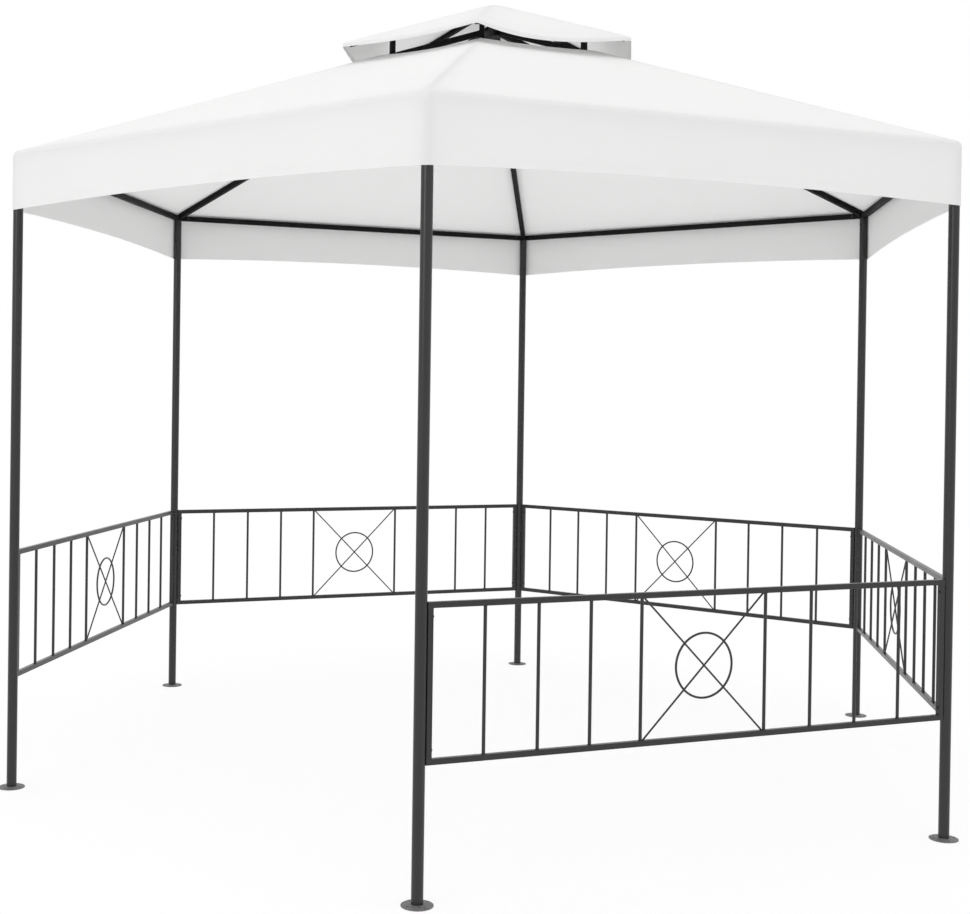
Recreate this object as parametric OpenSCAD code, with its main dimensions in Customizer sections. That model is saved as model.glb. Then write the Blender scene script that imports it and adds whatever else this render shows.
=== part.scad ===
// Hexagonal garden gazebo: a bolted steel frame with five railing panels, one open side
// and a two-tier fabric roof. Millimetres, +Z up, origin on the ground at the middle of the plan.
// The open side faces -Y and one corner lies on +X.

/* [Plan] */
// Side of the hexagon through the post centres
side_length = 1590; // [1200:10:2000]

/* [Posts and feet] */
// Outside diameter of a post tube
post_d = 30; // [26:1:40]
// Wall of a post tube
post_wall = 0.8; // [0.6:0.1:2]
// Diameter of a foot plate
foot_d = 80; // [74:2:120]
// Thickness of a foot plate at its rim
foot_rim = 2; // [1.5:0.5:4]
// Height of the raised middle of a foot plate, where the post stands
foot_h = 5; // [4.5:0.5:10]
// Circle through the peg holes of a foot plate
peg_circle_d = 60; // [56:1:64]
// Diameter of a peg hole
peg_hole_d = 7; // [5:0.5:8]
// Peg holes in a foot plate
peg_holes = 4; // [2:1:6]

/* [Roof frame] */
// Height of the centre line of the eave beams
eave_z = 1941; // [1700:1:2200]
// Outside width of the square tube of eave beams and rafters
tube_w = 20; // [18:1:24]
// Wall of the square tubes
tube_wall = 0.8; // [0.6:0.1:1.4]
// Outside corner radius of the square tubes
tube_r = 2; // [1.5:0.1:2.5]
// Angle of a rafter to the level, in degrees
ridge_angle = 19.1; // [14:0.1:26]
// How far a connector reaches into a tube
plug_l = 40; // [25:1:60]

/* [Crown and cap frame] */
// Distance between opposite flats of the crown hub, on which the rafters meet
crown_flats = 60; // [54:1:90]
// Height of the crown hub
crown_h = 30; // [28:1:50]
// Distance from the middle to a crown leg
leg_r = 371; // [300:1:450]
// Length of a crown leg, between the rafter and the cap rafter, on its centre line
crown_leg_l = 58; // [40:1:120]
// Outside width of the cap's square tubes and of the crown legs
cap_tube_w = 16; // [14:1:18]
// Distance between opposite flats of the hub at the top
hub_flats = 50; // [44:1:70]
// Height of the hub's hexagonal block
hub_h = 24; // [22:1:32]

/* [Canopies] */
// Thickness of a canopy
fabric_t = 3; // [2:0.5:4]
// Height of the valance at a corner, from its hem to the eave beam's top
valance_h = 178; // [100:1:260]
// How far the hem of the valance rises at the middle of a side
hem_rise = 15; // [0:1:40]
// Inside radius of the fold at the eave
fold_r = 8; // [4:0.5:8]
// Distance along a rafter's line from a crown leg's outer face to the edge of the vent
vent_margin = 32; // [16:1:60]
// Distance from the middle to a corner of the cap
cap_r = 549; // [520:1:640]
// Distance from a cap rafter's end to the corner of the cap
cap_overhang = 30; // [10:1:60]

/* [Railings] */
// Height of the centre line of the lower rail
low_rail_z = 344; // [200:1:400]
// Height of the centre line of the upper rail
top_rail_z = 722; // [650:1:900]
// Width of the square bar of rails and stiles
rail_w = 15; // [12:1:20]
// Width of the square field in the middle, between bar centres
field_w = 375; // [300:1:450]
// Balusters on each side of the square field
side_balusters = 3; // [1:1:5]
// Diameter of a baluster
baluster_d = 9; // [6:0.5:12]
// Diameter of the rods of the cross
rod_d = 5; // [4:0.5:8]
// Diameter of the rod of the ring
ring_rod_d = 6; // [4:0.5:8]
// Outside diameter of the ring on the cross
ring_d = 175; // [120:1:220]

/* [Fits] */
// Clearance between pieces that fit into or lie beside each other
fit = 0.3; // [0.2:0.05:0.5]

/* [Hidden] */
steel = "#2b2b2d";
plate_grey = "#5c5c5e";
fabric = "#f0f0ee";
corner_names = ["right", "back_right", "back_left", "left", "front_left", "front_right"];
side_names = ["back_right", "back", "back_left", "front_left", "front", "front_right"];
open_side = 4;
corners = [0:5];
panel_sides = [for (i = corners) if (i != open_side) i];

apothem = side_length * cos(30);
face_rise = tan(ridge_angle) / cos(30);
face_angle = atan(face_rise);
// Vertical room that a clearance takes up under a roof face
face_fit = fit / cos(face_angle);

// Square tubes that leave a corner 60 degrees apart start where their edges clear each other
joint_d = max((tube_w / 2 * cos(30) + fit) / sin(30), post_d / 2 + fit);
tube_inner_r = max(tube_r - tube_wall, 0.2);
post_top = eave_z - tube_w / 2;
plug_w = tube_w - 2 * tube_wall - 2 * fit;
cap_plug_w = cap_tube_w - 2 * tube_wall - 2 * fit;
post_plug_d = post_d - 2 * post_wall - 2 * fit;

// Underside of the main canopy at a distance a from the middle, square to a side
function under(a) = eave_z + tube_w / 2 + face_fit + face_rise * (apothem + tube_w / 2 - a);
// How far the centre line of a tube w wide lies below the fabric's ridge
function ridge_drop(w) = face_rise * w / 2 * sin(30) + face_fit + w / 2 / cos(ridge_angle);
function rafter_z(r) = under(r * cos(30)) - ridge_drop(tube_w);

crown_side = crown_flats / 2;
crown_z = rafter_z(crown_side);
vent_corner = leg_r + cap_tube_w / 2 + vent_margin;

// Upper face of a rafter above its centre line, which carries the crown legs
function rafter_top(r) = rafter_z(r) + tube_w / 2 / cos(ridge_angle);
// Centre line of a cap rafter, which lies on the crown legs
function cap_rafter_z(r) = rafter_top(r) + crown_leg_l + cap_tube_w / 2 / cos(ridge_angle);
// Underside of the cap at a distance a from the middle, square to a side
function cap_under(a) = cap_rafter_z(0) + ridge_drop(cap_tube_w) - face_rise * a;
cap_z = cap_under(0) + fabric_t / cos(face_angle);
hub_top = cap_under(hub_flats / 2 / cos(30)) - face_fit;
hub_corner = hub_flats / 2;
tip_rim = hub_corner - 1;
cap_rafter_end = cap_r - cap_overhang;
// How deep a stub is welded into a hub
weld_depth = 3;

valance_in = apothem + max(post_d, tube_w) / 2 + fit;
valance_bottom = eave_z + tube_w / 2 - valance_h;
hem_steps = 10;
fold_steps = 4;

stile_y = side_length / 2 - post_d / 2 - fit - rail_w / 2;
panel_half = stile_y + rail_w / 2;
baluster_pitch = (stile_y - field_w / 2) / (side_balusters + 1);
panel_h = top_rail_z - low_rail_z;
panel_mid_z = (top_rail_z + low_rail_z) / 2;

// Local +X points out of the plan, at a post's centre line
module at_corner(i) {
    rotate(60 * i) translate([side_length, 0, 0]) children();
}

// Local +X points out of the plan and +Y runs along the side, at the side's middle
module at_side(i) {
    rotate(60 * i + 30) translate([apothem, 0, 0]) children();
}

// Outline of a square of width w with corners of radius r
function square_section(w, r, steps = 3) = [
    for (q = [0:3])
        for (s = [0:steps])
            let (turn = 90 * q + 90 * s / steps,
                 mid = 90 * q + 45,
                 reach = (w / 2 - r) * sqrt(2))
            [reach * cos(mid) + r * cos(turn), reach * sin(mid) + r * sin(turn)]
];

// Square bar along +X from x = 0
module bar(w, l, r) {
    rotate([90, 0, 90]) linear_extrude(l) polygon(square_section(w, r));
}

// Square tube along +X from x = 0
module tube(w, l) {
    rotate([90, 0, 90])
        linear_extrude(l)
            difference() {
                polygon(square_section(w, tube_r));
                polygon(square_section(w - 2 * tube_wall, tube_inner_r));
            }
}

// Stub that fits inside a square tube, along +X from x = 0
module plug(w, l) {
    bar(w, l, tube_inner_r);
}

// Square tube under a ridge on the +X side, cut upright at both ends. z0 is its height at the middle.
module sloping_tube(w, r_in, r_out, z0) {
    intersection() {
        translate([0, 0, z0]) rotate([0, ridge_angle, 0]) tube(w, 2 * side_length);
        translate([r_in, -w, 0]) cube([r_out - r_in, 2 * w, 2 * cap_z]);
    }
}

module foot(i) {
    seat = post_d / 2 + 1;
    color(plate_grey)
        at_corner(i) {
            difference() {
                rotate_extrude($fn = 96)
                    polygon([[0, 0], [foot_d / 2, 0], [foot_d / 2, foot_rim], [seat, foot_h], [0, foot_h]]);
                for (k = [0:peg_holes - 1])
                    rotate(360 / peg_holes * (k + 0.5)) translate([peg_circle_d / 2, 0, -1])
                        cylinder(d = peg_hole_d, h = foot_h + 2, $fn = 48);
            }
            translate([0, 0, foot_h - 1]) cylinder(d = post_plug_d, h = plug_l + 1, $fn = 64);
        }
}

module post(i) {
    color(steel)
        at_corner(i) translate([0, 0, foot_h])
            difference() {
                cylinder(d = post_d, h = post_top - foot_h, $fn = 64);
                translate([0, 0, -1])
                    cylinder(d = post_d - 2 * post_wall, h = post_top - foot_h + 2, $fn = 64);
            }
}

// Plugs into the post, both eave beams and the rafter, and closes the corner between them
module corner_connector(i) {
    rafter_at_corner = rafter_z(side_length);
    color(steel)
        at_corner(i) {
            translate([0, 0, post_top - plug_l]) cylinder(d = post_plug_d, h = plug_l + 1, $fn = 64);
            translate([0, 0, post_top]) cylinder(d = post_d, h = eave_z - post_top, $fn = 64);
            for (turn = [-120, 120])
                translate([0, 0, eave_z]) rotate(turn) plug(plug_w, joint_d + plug_l);
            translate([0, 0, rafter_at_corner]) rotate([0, ridge_angle, 0]) rotate(180)
                plug(plug_w, joint_d + plug_l);
        }
}

module eave_beam(i) {
    l = side_length - 2 * joint_d;
    color(steel)
        at_side(i) translate([0, -l / 2, eave_z]) rotate(90) tube(tube_w, l);
}

module rafter(i) {
    color(steel)
        rotate(60 * i) sloping_tube(tube_w, crown_side + fit, side_length - joint_d, rafter_z(0));
}

// Hexagonal block with a stub for each rafter
module crown_hub() {
    color(steel) {
        rotate(30) translate([0, 0, crown_z - crown_h / 2])
            cylinder(r = crown_flats / 2 / cos(30), h = crown_h, $fn = 6);
        for (i = corners)
            rotate(60 * i)
                translate([crown_side - weld_depth, 0, rafter_z(crown_side - weld_depth)])
                    rotate([0, ridge_angle, 0]) plug(plug_w, plug_l + weld_depth);
    }
}

// Short uprights between the rafters and the cap rafters, cut to their slope at both ends
module crown_legs() {
    slab_h = crown_leg_l * cos(ridge_angle);
    color(steel)
        for (i = corners)
            rotate(60 * i)
                intersection() {
                    translate([leg_r - cap_tube_w / 2, -cap_tube_w / 2, 0])
                        cube([cap_tube_w, cap_tube_w, 2 * cap_z]);
                    translate([0, 0, rafter_top(0)]) rotate([0, ridge_angle, 0])
                        translate([0, -cap_tube_w, 0]) cube([2 * cap_r, 2 * cap_tube_w, slab_h]);
                }
}

module cap_rafters() {
    color(steel)
        for (i = corners)
            rotate(60 * i) sloping_tube(cap_tube_w, hub_corner + fit, cap_rafter_end, cap_rafter_z(0));
}

// Hexagonal block with a low cone on top and a stub for each cap rafter
module cap_hub() {
    color(steel) {
        rotate(30) translate([0, 0, hub_top - hub_h])
            cylinder(r = hub_flats / 2 / cos(30), h = hub_h, $fn = 6);
        translate([0, 0, hub_top])
            rotate_extrude($fn = 64)
                polygon([[0, -hub_h / 2], [tip_rim, -hub_h / 2], [tip_rim, 0], [0, tip_rim * face_rise]]);
        for (i = corners)
            rotate(60 * i)
                translate([hub_corner - weld_depth, 0, cap_rafter_z(hub_corner - weld_depth)])
                    rotate([0, ridge_angle, 0]) plug(cap_plug_w, plug_l + weld_depth);
    }
}

// Hexagonal ring of points at a distance a from the middle, square to the sides.
// The height rises by lift at the middle of each side.
function hex_row(a, z, lift) = [
    for (i = corners)
        for (s = [0:hem_steps - 1])
            let (u = 2 * s / hem_steps - 1,
                 turn = 60 * i + 30,
                 y = u * a * tan(30))
            [a * cos(turn) - y * sin(turn), a * sin(turn) + y * cos(turn), z + lift * (1 - u * u)]
];

// Closed skin through rows of points, each row joined to the next and the last to the first
module ring_skin(rows) {
    n = len(rows[0]);
    m = len(rows);
    polyhedron(
        points = [for (row = rows) each row],
        faces = [
            for (j = [0:m - 1])
                for (k = [0:n - 1])
                    let (a = j * n + k,
                         b = j * n + (k + 1) % n,
                         c = (j + 1) % m * n + (k + 1) % n,
                         d = (j + 1) % m * n + k)
                    each [[a, c, b], [a, d, c]]
        ]
    );
}

// Arc of the eave fold round its centre, at distances from the middle and heights
fold_z = under(valance_in) - fold_r * tan((90 - face_angle) / 2);
function fold_arc(r) = [
    for (s = [0:fold_steps])
        let (turn = (90 - face_angle) * s / fold_steps)
        [valance_in - fold_r + r * cos(turn), fold_z + r * sin(turn)]
];

// Valance, rounded eave fold and roof faces up to the vent, in one skin
module main_canopy() {
    vent_a = vent_corner * cos(30);
    outer_lift = fabric_t / cos(face_angle);
    outer_fold = fold_arc(fold_r + fabric_t);
    inner_fold = fold_arc(fold_r);
    color(fabric)
        ring_skin(concat(
            [hex_row(valance_in + fabric_t, valance_bottom, hem_rise)],
            [for (p = outer_fold) hex_row(p[0], p[1], 0)],
            [hex_row(vent_a, under(vent_a) + outer_lift, 0)],
            [hex_row(vent_a, under(vent_a), 0)],
            [for (s = [fold_steps:-1:0]) hex_row(inner_fold[s][0], inner_fold[s][1], 0)],
            [hex_row(valance_in, valance_bottom, hem_rise)]
        ));
}

// Hexagonal pyramid of even thickness, open below
module cap_canopy() {
    cap_a = cap_r * cos(30);
    outer = [for (i = corners) [cap_r * cos(60 * i), cap_r * sin(60 * i), cap_z - face_rise * cap_a]];
    inner = [for (i = corners) [cap_r * cos(60 * i), cap_r * sin(60 * i), cap_under(cap_a)]];
    top = 12;
    under_top = 13;
    color(fabric)
        polyhedron(
            points = concat(outer, inner, [[0, 0, cap_z], [0, 0, cap_under(0)]]),
            faces = [
                for (i = corners)
                    let (j = (i + 1) % 6)
                    each [[i, top, j], [i, j, j + 6], [i, j + 6, i + 6], [i + 6, j + 6, under_top]]
            ]
        );
}

// Rails and stiles round balusters, with a square field crossed by rods that carry a ring
module railing(i) {
    rail_r = 1.5;
    color(steel)
        at_side(i) {
            for (z = [low_rail_z, top_rail_z])
                translate([0, -panel_half, z]) rotate(90) bar(rail_w, 2 * panel_half, rail_r);
            for (y = [-stile_y, stile_y])
                translate([0, y, low_rail_z]) rotate([0, -90, 0]) bar(rail_w, panel_h, rail_r);
            for (end = [-1, 1])
                for (k = [0:side_balusters])
                    translate([0, end * (field_w / 2 + k * baluster_pitch), low_rail_z])
                        cylinder(d = baluster_d, h = panel_h, $fn = 24);
            for (end = [-1, 1])
                translate([0, 0, panel_mid_z]) rotate([end * atan2(field_w, panel_h), 0, 0])
                    cylinder(d = rod_d, h = norm([field_w, panel_h]), center = true, $fn = 24);
            translate([0, 0, panel_mid_z]) rotate([0, 90, 0])
                rotate_extrude($fn = 72)
                    translate([(ring_d - ring_rod_d) / 2, 0]) circle(d = ring_rod_d, $fn = 24);
        }
}

for (i = corners) {
    foot(i);
    post(i);
    corner_connector(i);
    eave_beam(i);
    rafter(i);
}
for (i = panel_sides)
    railing(i);
crown_hub();
crown_legs();
cap_rafters();
cap_hub();
main_canopy();
cap_canopy();
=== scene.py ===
# Hexagonal garden gazebo: steel frame, railing panels and a two-tier cloth roof
import bpy
import math
from mathutils import Matrix, Vector, noise


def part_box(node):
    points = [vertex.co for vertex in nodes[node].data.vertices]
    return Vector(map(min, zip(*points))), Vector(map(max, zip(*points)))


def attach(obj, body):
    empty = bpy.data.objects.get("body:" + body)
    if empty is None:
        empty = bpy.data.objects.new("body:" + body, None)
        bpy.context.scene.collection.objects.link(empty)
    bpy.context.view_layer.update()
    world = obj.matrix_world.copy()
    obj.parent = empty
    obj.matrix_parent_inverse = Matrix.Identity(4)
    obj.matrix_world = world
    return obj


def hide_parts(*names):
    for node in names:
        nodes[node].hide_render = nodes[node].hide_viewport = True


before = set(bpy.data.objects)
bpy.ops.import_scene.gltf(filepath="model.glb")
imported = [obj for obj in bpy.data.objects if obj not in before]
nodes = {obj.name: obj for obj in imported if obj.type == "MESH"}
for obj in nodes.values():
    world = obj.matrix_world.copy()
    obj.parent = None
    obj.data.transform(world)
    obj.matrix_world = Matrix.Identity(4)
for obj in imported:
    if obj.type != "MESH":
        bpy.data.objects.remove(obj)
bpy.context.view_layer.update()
cos30 = math.cos(math.radians(30))
tan30 = math.tan(math.radians(30))
sideNames = ["back_right", "back", "back_left", "front_left", "front", "front_right"]
railingSides = [i for i, side in enumerate(sideNames) if "railing_" + side in nodes]
print("frame loaded:", len(nodes), "nodes")


# small helpers

def deselectAll():
    if bpy.context.mode != "OBJECT":
        bpy.ops.object.mode_set(mode="OBJECT")
    bpy.ops.object.select_all(action="DESELECT")


def editMode():
    bpy.ops.object.mode_set(mode="EDIT")


def objectMode():
    bpy.ops.object.mode_set(mode="OBJECT")


def pickEdges(test):  # leaves the active piece in edit mode with just these edges selected
    editMode()
    bpy.ops.mesh.select_mode(type="EDGE")
    bpy.ops.mesh.select_all(action="DESELECT")
    objectMode()
    mesh = bpy.context.object.data
    for edge in mesh.edges:
        a, b = (mesh.vertices[i].co for i in edge.vertices)
        edge.select = test(a, b)
    editMode()


def pickFaces(test):
    editMode()
    bpy.ops.mesh.select_mode(type="FACE")
    bpy.ops.mesh.select_all(action="DESELECT")
    objectMode()
    for face in bpy.context.object.data.polygons:
        face.select = test(face)
    editMode()


def makeActive(obj):
    deselectAll()
    obj.select_set(True)
    bpy.context.view_layer.objects.active = obj


def nameActive(name):
    obj = bpy.context.object
    obj.name = name
    obj.data.name = name
    return obj


def applyAll(obj):
    makeActive(obj)
    for mod in [m.name for m in obj.modifiers]:
        bpy.ops.object.modifier_apply(modifier=mod)


def copyOf(obj, name):
    twin = obj.copy()
    twin.data = obj.data.copy()
    twin.name = name
    bpy.context.scene.collection.objects.link(twin)
    return twin


def joinAll(parts, name):
    deselectAll()
    for part in parts:
        part.select_set(True)
    bpy.context.view_layer.objects.active = parts[0]
    bpy.ops.object.join()
    return nameActive(name)


def placeMesh(obj, matrix):
    obj.data.transform(matrix)
    obj.data.update()


def joinCopies(model, places, name):  # one joined piece, with a copy of the model at each place
    twins = []
    for k, place in enumerate(places):
        twin = copyOf(model, "%s%02d" % (name, k))
        placeMesh(twin, place)
        twins.append(twin)
    bpy.data.objects.remove(model)
    print(name + ":", len(twins))
    return joinAll(twins, name)


def smoothBelow(degrees):
    bpy.ops.object.shade_smooth_by_angle(angle=math.radians(degrees))


def finishPiece(obj, material):
    obj.data.materials.clear()
    obj.data.materials.append(material)
    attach(obj, "root")


def sideFrame(i, apothem):  # local +X out of the plan, +Y along side i
    return Matrix.Rotation(math.radians(60 * i + 30), 4, "Z") @ Matrix.Translation((apothem, 0, 0))


def cornerFrame(i, radius):  # local +X out of the plan at corner i
    return Matrix.Rotation(math.radians(60 * i), 4, "Z") @ Matrix.Translation((radius, 0, 0))


# sizes read off the frame

def centreOf(node):
    low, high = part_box(node)
    return (low + high) / 2


def topRadius(node, depth=0.0005):
    high = max(v.co.z for v in nodes[node].data.vertices)
    return max(v.co.xy.length for v in nodes[node].data.vertices if v.co.z > high - depth)


postRadius = centreOf("post_right").x  # from the middle to a post's centre line
sideApothem = postRadius * cos30
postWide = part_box("post_right")[1].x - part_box("post_right")[0].x
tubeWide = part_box("eave_beam_back")[1].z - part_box("eave_beam_back")[0].z
eaveZ = centreOf("eave_beam_back").z
railLow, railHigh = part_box("railing_back")
canopyLow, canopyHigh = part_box("main_canopy")
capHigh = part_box("cap_canopy")[1]
ridgeAngle = math.radians(19.1)  # pitch of the rafters
faceRise = math.tan(ridgeAngle) / cos30
print("post circle %.3f m, eave %.3f m, top %.3f m" % (postRadius, eaveZ, capHigh.z))


# materials

def startMaterial(name):
    mat = bpy.data.materials.new(name)
    mat.use_nodes = True
    tree = mat.node_tree
    tree.nodes.clear()
    return mat, tree


def addNode(tree, kind, x, y, **values):
    node = tree.nodes.new(kind)
    node.location = (x, y)
    for key, value in values.items():
        setattr(node, key, value)
    return node


def link(tree, a, b):
    tree.links.new(a, b)


def mathNode(tree, x, y, operation, a, b=None, c=None):
    node = addNode(tree, "ShaderNodeMath", x, y, operation=operation)
    for i, value in enumerate((a, b, c)):
        if value is None:
            continue
        if isinstance(value, (int, float)):
            node.inputs[i].default_value = value
        else:
            link(tree, value, node.inputs[i])
    return node.outputs[0]


powderCoats = {
    # colour, colour of the patches, patches per metre, roughness, gloss
    "postSteel": (0.010, 0.015, 7.0, 0.30, 0.5),
    # painted shade: the posts' powder coat made darker and less glossy for the tubes under the roof, where
    # shade falls
    "roofSteelPaintedShade": (0.006, 0.009, 7.0, 0.56, 0.12),
    # partly painted light: the posts' powder coat made lighter overall, as if lit from above; the mottled
    # speckle is the plate's own
    "plateSteelPaintedLight": (0.05, 0.22, 170.0, 0.48, 0.4),
    "plugPlastic": (0.010, 0.014, 12.0, 0.40, 0.5),
}
orangePeel = {
    "waves": 900.0,       # per metre
    "depth": 0.00006,
    "strength": 0.6,
    "smoother": 0.06,     # how far the roughness goes down and up from its middle
    "rougher": 0.08,
}


def powderCoatMaterial(name):
    s = orangePeel
    colour, patch, patchScale, roughness, gloss = powderCoats[name]
    mat, tree = startMaterial(name)
    out = addNode(tree, "ShaderNodeOutputMaterial", 900, 0)
    shader = addNode(tree, "ShaderNodeBsdfPrincipled", 600, 0)
    coords = addNode(tree, "ShaderNodeTexCoord", -900, 0)
    patches = addNode(tree, "ShaderNodeTexNoise", -600, 200)
    patches.inputs["Scale"].default_value = patchScale
    patches.inputs["Detail"].default_value = 4.0
    peel = addNode(tree, "ShaderNodeTexNoise", -600, -250)
    peel.inputs["Scale"].default_value = s["waves"]
    peel.inputs["Detail"].default_value = 2.0
    tint = addNode(tree, "ShaderNodeMix", 100, 200, data_type="RGBA")  # colours are sockets 6 and 7
    tint.inputs[6].default_value = (colour, colour, colour * 1.02, 1.0)
    tint.inputs[7].default_value = (patch, patch, patch * 1.02, 1.0)
    rough = addNode(tree, "ShaderNodeMapRange", 100, -50)
    rough.inputs["To Min"].default_value = roughness - s["smoother"]
    rough.inputs["To Max"].default_value = roughness + s["rougher"]
    bump = addNode(tree, "ShaderNodeBump", 300, -300)
    bump.inputs["Distance"].default_value = s["depth"]
    bump.inputs["Strength"].default_value = s["strength"]
    for texture in (patches, peel):
        link(tree, coords.outputs["Object"], texture.inputs["Vector"])
    link(tree, patches.outputs["Fac"], tint.inputs[0])
    link(tree, patches.outputs["Fac"], rough.inputs["Value"])
    link(tree, peel.outputs["Fac"], bump.inputs["Height"])
    link(tree, tint.outputs[2], shader.inputs["Base Color"])
    link(tree, rough.outputs["Result"], shader.inputs["Roughness"])
    link(tree, bump.outputs["Normal"], shader.inputs["Normal"])
    link(tree, shader.outputs["BSDF"], out.inputs["Surface"])
    shader.inputs["Specular IOR Level"].default_value = gloss
    return mat


polyester = {
    "colour": (0.925, 0.925, 0.922, 1.0),
    "colourThin": (0.905, 0.905, 0.902, 1.0),
    "throughColour": (0.94, 0.94, 0.937, 1.0),
    "through": 0.31,      # share of the light that comes through the cloth
    "yarn": 0.0011,       # pitch of the yarns in metres
    "weaveDepth": 0.00005,
    "bump": 0.5,
    "clouds": 3.5,        # soft patches per metre
    "roughness": 0.85,
    "gloss": 0.2,
    "stitch": 0.0045,     # length of one stitch in metres
    "stitchWide": 0.0012,
    "stitchDepth": 0.0007,
    "threadShare": 0.7,   # of a stitch's length that shows thread
    "seamRows": (0.004, 0.010),  # stitch rows beside a ridge seam
    "hemRow": 0.019,      # stitch row above a hem
}


def addRow(tree, rows, distance, at, along):  # one more row of stitches
    s = polyester
    near = mathNode(tree, -600, -300, "COMPARE", distance, at, s["stitchWide"] / 2)
    beat = mathNode(tree, -600, -450, "FRACT", mathNode(tree, -750, -450, "DIVIDE", along, s["stitch"]))
    dash = mathNode(tree, -400, -450, "LESS_THAN", beat, s["threadShare"])
    row = mathNode(tree, -200, -400, "MULTIPLY", near, dash)
    if rows is None:
        return row
    return mathNode(tree, 0, -400, "MAXIMUM", rows, row)


def clothMaterial(name, lengthDown):
    s = polyester
    mat, tree = startMaterial(name)
    out = addNode(tree, "ShaderNodeOutputMaterial", 1500, 0)
    shader = addNode(tree, "ShaderNodeBsdfPrincipled", 1000, 100)
    through = addNode(tree, "ShaderNodeBsdfTranslucent", 1000, -500)
    both = addNode(tree, "ShaderNodeMixShader", 1300, 0)
    weaveMap = addNode(tree, "ShaderNodeUVMap", -1200, 200, uv_map="weave")
    seamMap = addNode(tree, "ShaderNodeUVMap", -1200, -300, uv_map="seam")
    coords = addNode(tree, "ShaderNodeTexCoord", -1200, 500)
    cloud = addNode(tree, "ShaderNodeTexNoise", -900, 500)
    cloud.inputs["Scale"].default_value = s["clouds"]
    cloud.inputs["Detail"].default_value = 6.0
    link(tree, coords.outputs["Object"], cloud.inputs["Vector"])
    weave = addNode(tree, "ShaderNodeSeparateXYZ", -950, 200)
    link(tree, weaveMap.outputs["UV"], weave.inputs[0])
    seam = addNode(tree, "ShaderNodeSeparateXYZ", -950, -300)
    link(tree, seamMap.outputs["UV"], seam.inputs[0])
    turns = 2 * math.pi / s["yarn"]
    warp = mathNode(tree, -700, 300, "SINE", mathNode(tree, -820, 300, "MULTIPLY", weave.outputs[0], turns))
    weft = mathNode(tree, -700, 150, "SINE", mathNode(tree, -820, 150, "MULTIPLY", weave.outputs[1], turns))
    cross = mathNode(tree, -500, 220, "MULTIPLY", warp, weft)
    # stitch rows: near a ridge seam they run down the cloth, near a hem they run along it
    fromSeam, down = seam.outputs[0], seam.outputs[1]
    rows = None
    for row in s["seamRows"]:
        rows = addRow(tree, rows, fromSeam, row, weave.outputs[1])
    for row in (s["hemRow"], lengthDown - s["hemRow"]):
        rows = addRow(tree, rows, down, row, weave.outputs[0])
    weaveHeight = mathNode(tree, 300, 150, "MULTIPLY", cross, s["weaveDepth"])
    height = mathNode(tree, 500, 50, "MULTIPLY_ADD", rows, -s["stitchDepth"], weaveHeight)
    bump = addNode(tree, "ShaderNodeBump", 750, -250)
    bump.inputs["Distance"].default_value = 1.0
    bump.inputs["Strength"].default_value = s["bump"]
    link(tree, height, bump.inputs["Height"])
    tint = addNode(tree, "ShaderNodeMix", 700, 300, data_type="RGBA")
    tint.inputs[6].default_value = s["colour"]
    tint.inputs[7].default_value = s["colourThin"]
    link(tree, cloud.outputs["Fac"], tint.inputs[0])
    link(tree, tint.outputs[2], shader.inputs["Base Color"])
    link(tree, bump.outputs["Normal"], shader.inputs["Normal"])
    link(tree, bump.outputs["Normal"], through.inputs["Normal"])
    shader.inputs["Roughness"].default_value = s["roughness"]
    shader.inputs["Specular IOR Level"].default_value = s["gloss"]
    through.inputs["Color"].default_value = s["throughColour"]
    both.inputs["Fac"].default_value = s["through"]
    link(tree, shader.outputs["BSDF"], both.inputs[1])
    link(tree, through.outputs["BSDF"], both.inputs[2])
    link(tree, both.outputs["Shader"], out.inputs["Surface"])
    return mat


postSteel = powderCoatMaterial("postSteel")
roofSteelPaintedShade = powderCoatMaterial("roofSteelPaintedShade")
plateSteelPaintedLight = powderCoatMaterial("plateSteelPaintedLight")
plastic = powderCoatMaterial("plugPlastic")
# foot plates get the lighter coat, partly painted light from above
coats = {"foot": plateSteelPaintedLight, "post": postSteel, "railing": postSteel}
for name, node in nodes.items():
    # every other node, the tubes under the roof, gets the darker coat with painted shade
    node.material_slots[0].material = coats.get(name.split("_")[0], roofSteelPaintedShade)
print("materials on", len(nodes), "frame nodes")


# cloth roof

cornerSteps = 4   # faces round a rounded corner


def ringCount(cuts):  # points in one row of cloth
    return 6 * (cuts + cornerSteps + 1)


def hexRing(radius, z, fillet, cuts):
    deselectAll()
    bpy.ops.mesh.primitive_circle_add(vertices=6, radius=radius, fill_type="NOTHING", location=(0, 0, 0))
    editMode()
    bpy.ops.mesh.select_all(action="SELECT")
    bpy.ops.transform.rotate(value=math.radians(30), orient_axis="Z", center_override=(0, 0, 0))
    bpy.ops.transform.translate(value=(0, 0, z))
    bpy.ops.mesh.bevel(offset=fillet * tan30, offset_type="OFFSET", segments=cornerSteps,
                       affect="VERTICES")
    pickEdges(lambda a, b: (a - b).length > radius / 2)
    bpy.ops.mesh.subdivide(number_cuts=cuts)
    bpy.ops.mesh.select_all(action="SELECT")


def extrudeRows(rows):  # rows of (apothem, z), the first one is already there
    for (aOld, zOld), (a, z) in zip(rows, rows[1:]):
        bpy.ops.mesh.extrude_region_move(TRANSFORM_OT_translate={"value": (0, 0, z - zOld)})
        bpy.ops.transform.resize(value=(a / aOld, a / aOld, 1), center_override=(0, 0, 0))


def onSide(point, i):  # apothem and place along side i
    mid = math.radians(60 * i + 30)
    apothem = point.x * math.cos(mid) + point.y * math.sin(mid)
    along = -point.x * math.sin(mid) + point.y * math.cos(mid)
    return apothem, along


def sideOf(point):  # number of the nearest side, with the apothem and place along it
    turn = math.degrees(math.atan2(point.y, point.x)) % 360
    i = int(turn // 60)
    return (i,) + onSide(point, i)


def downLength(rows):  # length of cloth from the first row to each row
    total = [0.0]
    for (a, z), (b, y) in zip(rows, rows[1:]):
        total.append(total[-1] + math.hypot(b - a, y - z))
    return total


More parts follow.
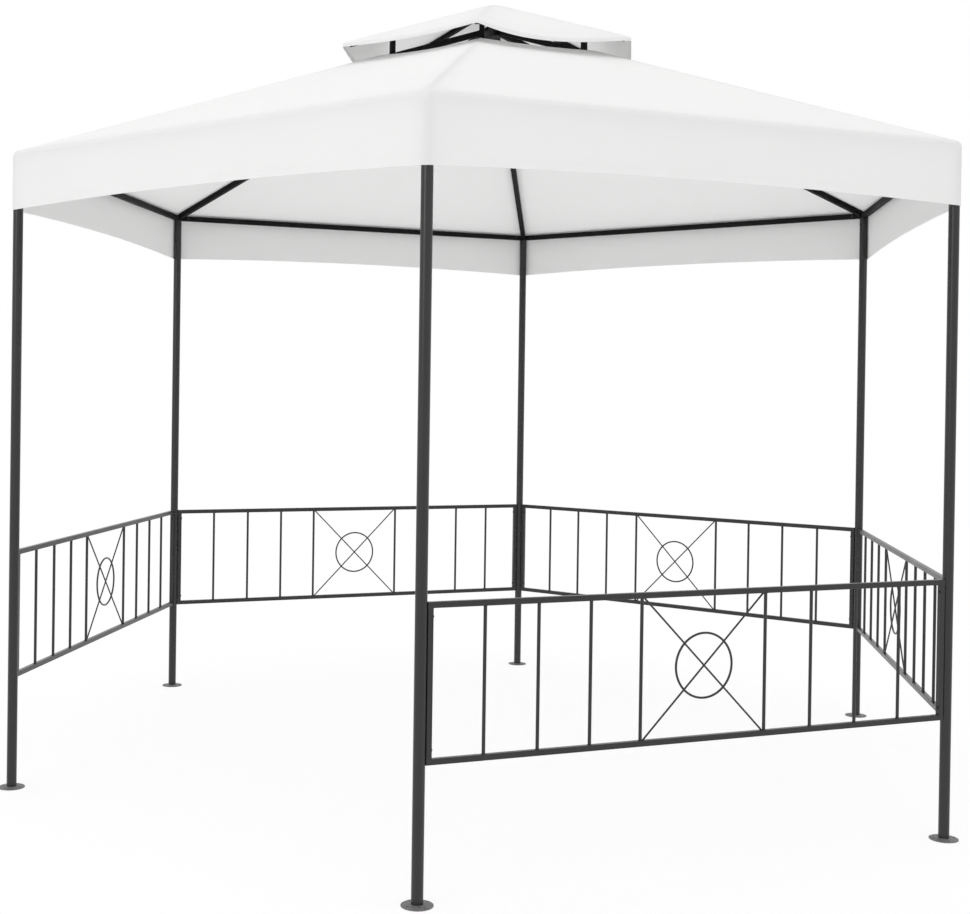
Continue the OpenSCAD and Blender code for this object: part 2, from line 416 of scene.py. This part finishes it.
def clothMaps(obj, rowOf, lengths):
    mesh = obj.data
    weave = mesh.uv_layers.new(name="weave")
    seam = mesh.uv_layers.new(name="seam")
    for face in mesh.polygons:
        i = sideOf(face.center)[0]
        for loop in face.loop_indices:
            v = mesh.loops[loop].vertex_index
            apothem, along = onSide(mesh.vertices[v].co, i)
            down = lengths[rowOf[v]]
            weave.data[loop].uv = (along, down)
            seam.data[loop].uv = (apothem * tan30 - abs(along), down)


def spread(a, b, count):  # evenly spaced numbers after a, up to b
    return [a + (b - a) * (k + 1) / count for k in range(count)]


def thicken(obj, thick):
    makeActive(obj)
    editMode()
    bpy.ops.mesh.select_all(action="SELECT")
    bpy.ops.mesh.normals_make_consistent(inside=False)
    objectMode()
    solid = obj.modifiers.new("cloth", "SOLIDIFY")
    solid.thickness = thick
    solid.offset = 0.0
    applyAll(obj)
    smoothBelow(50)


mainCloth = {
    "inside": 0.0015,     # middle of the cloth, inside the solid's outer face
    "thick": 0.0012,
    "cornerRadius": 0.017,
    "cuts": 39,
    "foldRadius": 0.018,
    "foldSteps": 7,
    "valanceRows": 8,
    "roofRows": 26,
    "hem": 0.020,
    "hemEdge": 0.003,
    "hemRise": 0.015,     # of the valance's edge at the middle of a side
    "sag": 0.007,
    "sagRipple": 0.25,
    "ventSag": (0.008, 0.009, 0.007, 0.009, 0.008, 0.004),   # of the vent's edge between two rafters
    "ventTight": 6,       # how close to the vent that sag stays
    "billow": 0.0035,
    "billowWaves": (2.3, 7.1, 1.3),   # along a side, from side to side and down
    "sagWaves": (3.1, 2.0, 5.3),      # along a side, up the roof and from side to side
}


def mainRows():
    s = mainCloth
    valanceA = canopyHigh.y - s["inside"]
    ventA = topRadius("main_canopy") * cos30
    ventZ = canopyHigh.z - s["inside"] / math.cos(math.atan(faceRise))

    def roofZ(a):
        return ventZ - faceRise * (a - ventA)

    r = s["foldRadius"]
    turn = math.pi / 2 - math.atan(faceRise)
    cornerZ = roofZ(valanceA)
    startZ = cornerZ - r * math.tan(turn / 2)
    low = canopyLow.z
    rows = [(valanceA, low), (valanceA, low + s["hemEdge"]), (valanceA, low + s["hem"])]
    rows += [(valanceA, z) for z in spread(low + s["hem"], startZ, s["valanceRows"])]
    for t in spread(0, turn, s["foldSteps"]):
        rows.append((valanceA - r + r * math.cos(t), startZ + r * math.sin(t)))
    lastA = rows[-1][0]
    foldRow = len(rows) - 1
    rows += [(a, roofZ(a)) for a in spread(lastA, ventA + s["hem"], s["roofRows"])]
    rows += [(ventA + s["hemEdge"], roofZ(ventA + s["hemEdge"])), (ventA, ventZ)]
    return rows, foldRow


def shapeMain(obj, rowOf, rows, foldRow):
    s = mainCloth
    low = canopyLow.z
    valanceTop = foldRow - s["foldSteps"]
    foldZ = rows[valanceTop][1]
    for v in obj.data.vertices:
        i, apothem, along = sideOf(v.co)
        across = min(1.0, abs(along) / (apothem * tan30))
        slack = 1 - across * across
        mid = math.radians(60 * i + 30)
        outward = Vector((math.cos(mid), math.sin(mid), 0))
        row = rowOf[v.index]
        if row <= valanceTop:
            hang = max(0.0, (foldZ - v.co.z) / (foldZ - low))
            x, y, z = s["billowWaves"]
            wave = noise.noise(Vector((along * x, i * y, v.co.z * z)))
            v.co += outward * (s["billow"] * wave * slack * hang)
            v.co.z += s["hemRise"] * slack * hang
        elif row > foldRow:
            t = (row - foldRow) / (len(rows) - 1 - foldRow)
            x, y, z = s["sagWaves"]
            ripple = noise.noise(Vector((along * x, t * y, i * z)))
            v.co.z -= slack * math.sin(math.pi * t) * s["sag"] * (1 + s["sagRipple"] * ripple)
            v.co.z -= slack * t ** s["ventTight"] * s["ventSag"][i]


def makeMain():
    s = mainCloth
    rows, foldRow = mainRows()
    hexRing(rows[0][0] / cos30, rows[0][1], s["cornerRadius"], s["cuts"])
    perRow = ringCount(s["cuts"])
    extrudeRows(rows)
    objectMode()
    obj = nameActive("mainCanopy")
    rowOf = [v.index // perRow for v in obj.data.vertices]
    shapeMain(obj, rowOf, rows, foldRow)
    lengths = downLength(rows)
    clothMaps(obj, rowOf, lengths)
    thicken(obj, s["thick"])
    print("main canopy:", len(rows), "rows,", len(obj.data.polygons), "faces")
    return obj, lengths[-1]


capCloth = {
    "inside": 0.0015,
    "thick": 0.0012,
    "cornerRadius": 0.014,
    "cuts": 19,
    "roofRows": 18,
    "hem": 0.020,
    "drop": 0.013,        # turned-down edge
    "edgeRound": (0.001, 0.004),   # rows that round the edge over
    "sag": 0.005,
    "droop": (0.014, 0.012, 0.015, 0.012, 0.010, 0.029),   # of the hem at the middle of each side
    "lean": (0.1, -0.1, 0.05, 0.0, 0.1, -0.35),   # how far the droop leans to one end
    "droopTight": 3,      # how close to the hem the droop stays
    "onTube": 0.011,      # width beside a ridge that lies on the cap rafter
    "narrowest": 0.001,   # least free width between two cap rafters
    "tip": 0.006,         # half width of the sewn point at the top
    "tipRise": 0.6,       # share of the roof's rise left at the sewn point
}


def capRows():
    s = capCloth
    edgeA = capHigh.y
    topZ = capHigh.z - s["inside"] / math.cos(math.atan(faceRise))

    def roofZ(a):
        return topZ - faceRise * a

    hemA = edgeA - s["hem"]
    first, last = s["edgeRound"]
    rows = [(edgeA, roofZ(edgeA) - s["drop"]), (edgeA, roofZ(edgeA) - s["drop"] / 2)]
    rows += [(edgeA - first, roofZ(edgeA - first) - first)]
    rows += [(a, roofZ(a)) for a in (edgeA - last, hemA)]
    rows += [(a, roofZ(a)) for a in spread(hemA, s["tip"], s["roofRows"])]
    return rows


def shapeCap(obj, edgeA):
    s = capCloth
    for v in obj.data.vertices:
        i, apothem, along = sideOf(v.co)
        if apothem < s["tip"]:
            continue
        half = apothem * tan30
        between = max(s["narrowest"], half - s["onTube"])
        across = min(1.0, abs(along) / between)
        slack = 1 - across * across
        out = apothem / edgeA
        lean = 1 + s["lean"][i] * along / half
        droop = s["droop"][i] * lean * out ** s["droopTight"]
        v.co.z -= slack * (droop + s["sag"] * math.sin(math.pi * min(1.0, out)))


def makeCap():
    s = capCloth
    rows = capRows()
    hexRing(rows[0][0] / cos30, rows[0][1], s["cornerRadius"], s["cuts"])
    perRow = ringCount(s["cuts"])
    extrudeRows(rows)
    bpy.ops.mesh.merge(type="CENTER")
    bpy.ops.transform.translate(value=(0, 0, rows[-1][0] * faceRise * s["tipRise"]))
    objectMode()
    obj = nameActive("capCanopy")
    lastRow = len(rows) - 1
    rowOf = [min(lastRow, v.index // perRow) for v in obj.data.vertices]
    shapeCap(obj, rows[0][0])
    lengths = downLength(rows)
    clothMaps(obj, rowOf, lengths)
    thicken(obj, s["thick"])
    print("cap canopy:", len(rows), "rows,", len(obj.data.polygons), "faces")
    return obj, lengths[-1]


def flatCut(rows):  # six panels laid out flat round the top, before any sag
    down = downLength(rows)
    reach = rows[-1][0] + down[-1]
    wide = [2 * tan30 * a for a, z in rows]
    panel = 0.0
    for k in range(len(rows) - 1):
        panel += (down[k + 1] - down[k]) * (wide[k] + wide[k + 1]) / 2
    size = (2 * reach, 2 * (reach * cos30 + wide[0] / 4))
    print("flat cut: %.3f x %.3f m, %.3f m2" % (size[0], size[1], 6 * panel))
    return size, 6 * panel


mainCanopy, mainDown = makeMain()
finishPiece(mainCanopy, clothMaterial("mainCloth", mainDown))
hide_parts("main_canopy")
capCanopy, capDown = makeCap()
finishPiece(capCanopy, clothMaterial("capCloth", capDown))
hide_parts("cap_canopy")

mainFlat, mainArea = flatCut(mainRows()[0])
capFlat, capArea = flatCut(capRows())


# screws at the railings, the beams and the posts

screwHead = {
    "radius": 0.0042,
    "height": 0.0026,
    "dome": 0.00117,      # rounded edge
    "rim": 0.00126,       # round the socket
    "socketDepth": 0.0014,
    "sides": 16,
    "sink": 0.0001,       # into a post's round face
    "fromRail": 0.028,    # above or below a rail's middle
    "fromBeamEnd": 0.024,
}


def makeScrew():  # head standing on z = 0, pointing up
    s = screwHead
    deselectAll()
    bpy.ops.mesh.primitive_cylinder_add(vertices=s["sides"], radius=s["radius"], depth=s["height"],
                                        location=(0, 0, s["height"] / 2))
    bpy.ops.object.transform_apply(location=True)
    obj = nameActive("screwHead")
    nearTop = 0.9 * s["height"]
    pickEdges(lambda a, b: min(a.z, b.z) > nearTop)
    bpy.ops.mesh.bevel(offset=s["dome"], segments=3, affect="EDGES")
    pickFaces(lambda face: face.normal.z > 0.99 and face.center.z > nearTop)
    bpy.ops.mesh.inset(thickness=s["rim"])
    bpy.ops.mesh.extrude_region_move(TRANSFORM_OT_translate={"value": (0, 0, -s["socketDepth"])})
    objectMode()
    smoothBelow(35)
    return obj


def headAt(point, outward):
    turn = Vector(outward).to_track_quat("Z", "Y").to_matrix().to_4x4()
    return Matrix.Translation(point) @ turn


def screwPlaces():
    s = screwHead
    railWide = railHigh.y - railLow.y
    topRail, lowRail = railHigh.z - railWide / 2, railLow.z + railWide / 2
    stile = railHigh.x - railWide
    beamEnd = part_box("eave_beam_back")[1].x
    for i in range(6):
        side = sideFrame(i, sideApothem)
        for end in (-1, 1):
            if i in railingSides:
                for z in (lowRail + s["fromRail"], topRail - s["fromRail"]):
                    yield side @ headAt((0, end * stile, z), (0, -end, 0))
            yield side @ headAt((-tubeWide / 2, end * (beamEnd - s["fromBeamEnd"]), eaveZ), (-1, 0, 0))
        onPost = (-postWide / 2 + s["sink"], 0, eaveZ - tubeWide / 2 - s["fromBeamEnd"])
        yield cornerFrame(i, postRadius) @ headAt(onPost, (-1, 0, 0))


frameScrews = joinCopies(makeScrew(), screwPlaces(), "frameScrews")
finishPiece(frameScrews, postSteel)


# plastic plugs in the open ends of the cap rafters

endPlug = {
    "tube": 0.016,        # width of a cap rafter
    "wide": 0.0154,
    "thick": 0.0016,
    "edge": 0.0006,
}


def makePlug():  # plate standing on the plane x = 0, outside the tube
    s = endPlug
    deselectAll()
    bpy.ops.mesh.primitive_cube_add(size=1, location=(0, 0, 0))
    obj = nameActive("endPlug")
    editMode()
    bpy.ops.mesh.select_all(action="SELECT")
    bpy.ops.transform.resize(value=(s["thick"], s["wide"], s["wide"]), center_override=(0, 0, 0))
    bpy.ops.transform.translate(value=(s["thick"] / 2, 0, 0))
    objectMode()
    edge = obj.modifiers.new("edge", "BEVEL")
    edge.width = s["edge"]
    edge.segments = 2
    applyAll(obj)
    smoothBelow(35)
    return obj


def plugPlaces():
    low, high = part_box("cap_rafters")
    z = low.z + endPlug["tube"] / 2 / math.cos(ridgeAngle)
    for i in range(6):
        yield cornerFrame(i, high.x) @ Matrix.Translation((0, 0, z))


endPlugs = joinCopies(makePlug(), plugPlaces(), "endPlugs")
finishPiece(endPlugs, plastic)


# weld beads where the balusters meet the rails

weldBead = {
    "bar": 0.0045,        # radius of a baluster
    "bead": 0.0014,
    "sink": 0.0004,       # ring's middle outside the baluster's face
    "flat": 0.75,
    "wider": 1.06,
    "field": 0.375,       # width of the square field in the middle
    "sideBars": 3,
}


def beadPlaces():
    s = weldBead
    railWide = railHigh.y - railLow.y
    stile = railHigh.x - railWide / 2
    pitch = (stile - s["field"] / 2) / (s["sideBars"] + 1)
    for i in railingSides:
        for end in (-1, 1):
            for k in range(s["sideBars"] + 1):
                for z in (railLow.z + railWide, railHigh.z - railWide):
                    along = end * (s["field"] / 2 + k * pitch)
                    yield sideFrame(i, sideApothem) @ Matrix.Translation((0, along, z))


def makeBead():  # ring round a baluster, drawn out thin along the rail
    s = weldBead
    middle = s["bar"] + s["sink"]
    deselectAll()
    bpy.ops.mesh.primitive_torus_add(major_radius=middle, minor_radius=s["bead"],
                                     major_segments=14, minor_segments=8)
    obj = nameActive("bead")
    editMode()
    bpy.ops.mesh.select_all(action="SELECT")
    bpy.ops.transform.resize(value=(1, 1, s["flat"]), center_override=(0, 0, 0))
    pickFaces(lambda face: face.center.xy.length > middle)
    bpy.ops.transform.resize(value=(s["wider"], s["wider"], s["flat"]), center_override=(0, 0, 0))
    objectMode()
    bpy.ops.object.shade_smooth()
    return obj


weldBeads = joinCopies(makeBead(), beadPlaces(), "weldBeads")
finishPiece(weldBeads, postSteel)


# camera, floor and light

photoWide = 970
photoHigh = 914
viewpoint = {
    "azimuth": 35.4864,   # degrees round from the open side
    "distance": 5.0539,
    "height": 1.2303,
    "yaw": 0.0489,
    "pitch": -0.0081,
    "roll": 0.0139,
    "focal": 1452.04,     # in pixels of the photo's frame
    "middle": (416.54, 404.68),   # where the lens points, in the photo's frame
    "sensor": 36.0,
}


def makeCamera():
    s = viewpoint
    az = math.radians(s["azimuth"])
    place = Vector((s["distance"] * math.sin(az), -s["distance"] * math.cos(az), s["height"]))
    ahead = Vector((-math.sin(az + s["yaw"]), math.cos(az + s["yaw"]), 0))
    right = Vector((ahead.y, -ahead.x, 0))
    up = Vector((0, 0, 1))
    look = math.cos(s["pitch"]) * ahead + math.sin(s["pitch"]) * up
    top = -math.sin(s["pitch"]) * ahead + math.cos(s["pitch"]) * up
    rightTurned = math.cos(s["roll"]) * right + math.sin(s["roll"]) * top
    topTurned = -math.sin(s["roll"]) * right + math.cos(s["roll"]) * top
    data = bpy.data.cameras.new("camera")
    cam = bpy.data.objects.new("camera", data)
    bpy.context.scene.collection.objects.link(cam)
    turn = Matrix((rightTurned, topTurned, -look)).transposed()
    cam.matrix_world = Matrix.Translation(place) @ turn.to_4x4()
    data.sensor_fit = "HORIZONTAL"
    data.sensor_width = s["sensor"]
    data.lens = s["focal"] / photoWide * data.sensor_width
    data.shift_x = (photoWide / 2 - s["middle"][0]) / photoWide
    data.shift_y = (s["middle"][1] - photoHigh / 2) / photoWide
    data.clip_end = 100
    bpy.context.scene.camera = cam


studio = {
    "sky": 1.09,          # strength that lights the object
    "floorSize": 60.0,
    "floorColour": (0.94, 0.94, 0.94, 1.0),
    "floorWhite": (0.82, 1.0),   # share of plain white that the camera sees, near and far
    "floorFade": (1.6, 4.0),     # metres from the middle
    "aim": (0.0, 0.0, 1.2),      # what the lamps point at
    "key": (60.0, 1.6, (0.5, -9.0, 3.2)),   # watts, size and place
    "top": (38.0, 5.0, (0.0, -0.6, 8.0)),
    "fill": (3.0, 2.2, (0.0, 0.0, 0.05)),
}


def seenRay(tree):  # 1 for camera, glossy and transmission rays
    path = addNode(tree, "ShaderNodeLightPath", -900, 300)
    total = mathNode(tree, -600, 300, "ADD", path.outputs["Is Camera Ray"], path.outputs["Is Glossy Ray"])
    total = mathNode(tree, -450, 300, "ADD", total, path.outputs["Is Transmission Ray"])
    return mathNode(tree, -300, 300, "MINIMUM", total, 1.0)


def makeFloor():
    s = studio
    deselectAll()
    bpy.ops.mesh.primitive_plane_add(size=s["floorSize"], location=(0, 0, 0))
    floor = nameActive("floor")
    mat, tree = startMaterial("floorPaper")
    out = addNode(tree, "ShaderNodeOutputMaterial", 700, 0)
    paper = addNode(tree, "ShaderNodeBsdfDiffuse", 100, 100)
    paper.inputs["Color"].default_value = s["floorColour"]
    white = addNode(tree, "ShaderNodeEmission", 100, -100)
    both = addNode(tree, "ShaderNodeMixShader", 400, 0)
    coords = addNode(tree, "ShaderNodeTexCoord", -900, -200)
    length = addNode(tree, "ShaderNodeVectorMath", -700, -200, operation="LENGTH")
    fade = addNode(tree, "ShaderNodeMapRange", -450, -200)
    fade.inputs["From Min"].default_value, fade.inputs["From Max"].default_value = s["floorFade"]
    fade.inputs["To Min"].default_value, fade.inputs["To Max"].default_value = s["floorWhite"]
    link(tree, coords.outputs["Object"], length.inputs[0])
    link(tree, length.outputs["Value"], fade.inputs["Value"])
    share = mathNode(tree, -100, 300, "MULTIPLY", seenRay(tree), fade.outputs["Result"])
    link(tree, share, both.inputs["Fac"])
    link(tree, paper.outputs["BSDF"], both.inputs[1])
    link(tree, white.outputs["Emission"], both.inputs[2])
    link(tree, both.outputs["Shader"], out.inputs["Surface"])
    floor.data.materials.append(mat)


def makeLamp(name, power, size, place):
    data = bpy.data.lights.new(name, "AREA")
    data.energy = power
    data.shape = "SQUARE"
    data.size = size
    lamp = bpy.data.objects.new(name, data)
    bpy.context.scene.collection.objects.link(lamp)
    lamp.location = place
    lamp.rotation_euler = (Vector(studio["aim"]) - Vector(place)).to_track_quat("-Z", "Y").to_euler()
    return lamp


def makeLight():
    s = studio
    world = bpy.data.worlds.new("studio")
    bpy.context.scene.world = world
    world.use_nodes = True
    tree = world.node_tree
    tree.nodes.clear()
    out = addNode(tree, "ShaderNodeOutputWorld", 600, 0)
    sky = addNode(tree, "ShaderNodeBackground", 300, 0)
    sky.inputs["Color"].default_value = (1.0, 1.0, 1.0, 1.0)
    level = addNode(tree, "ShaderNodeMapRange", 0, 100)
    level.inputs["To Min"].default_value = s["sky"]
    level.inputs["To Max"].default_value = 1.0
    link(tree, seenRay(tree), level.inputs["Value"])
    link(tree, level.outputs["Result"], sky.inputs["Strength"])
    link(tree, sky.outputs["Background"], out.inputs["Surface"])
    makeLamp("key", *s["key"])
    makeLamp("top", *s["top"])
    fill = makeLamp("fill", *s["fill"])  # lights the cloth from below
    fill.visible_camera = False
    fill.visible_glossy = False


makeCamera()
makeFloor()
makeLight()
bpy.context.scene.view_settings.view_transform = "Standard"
print("camera, floor and light ready")
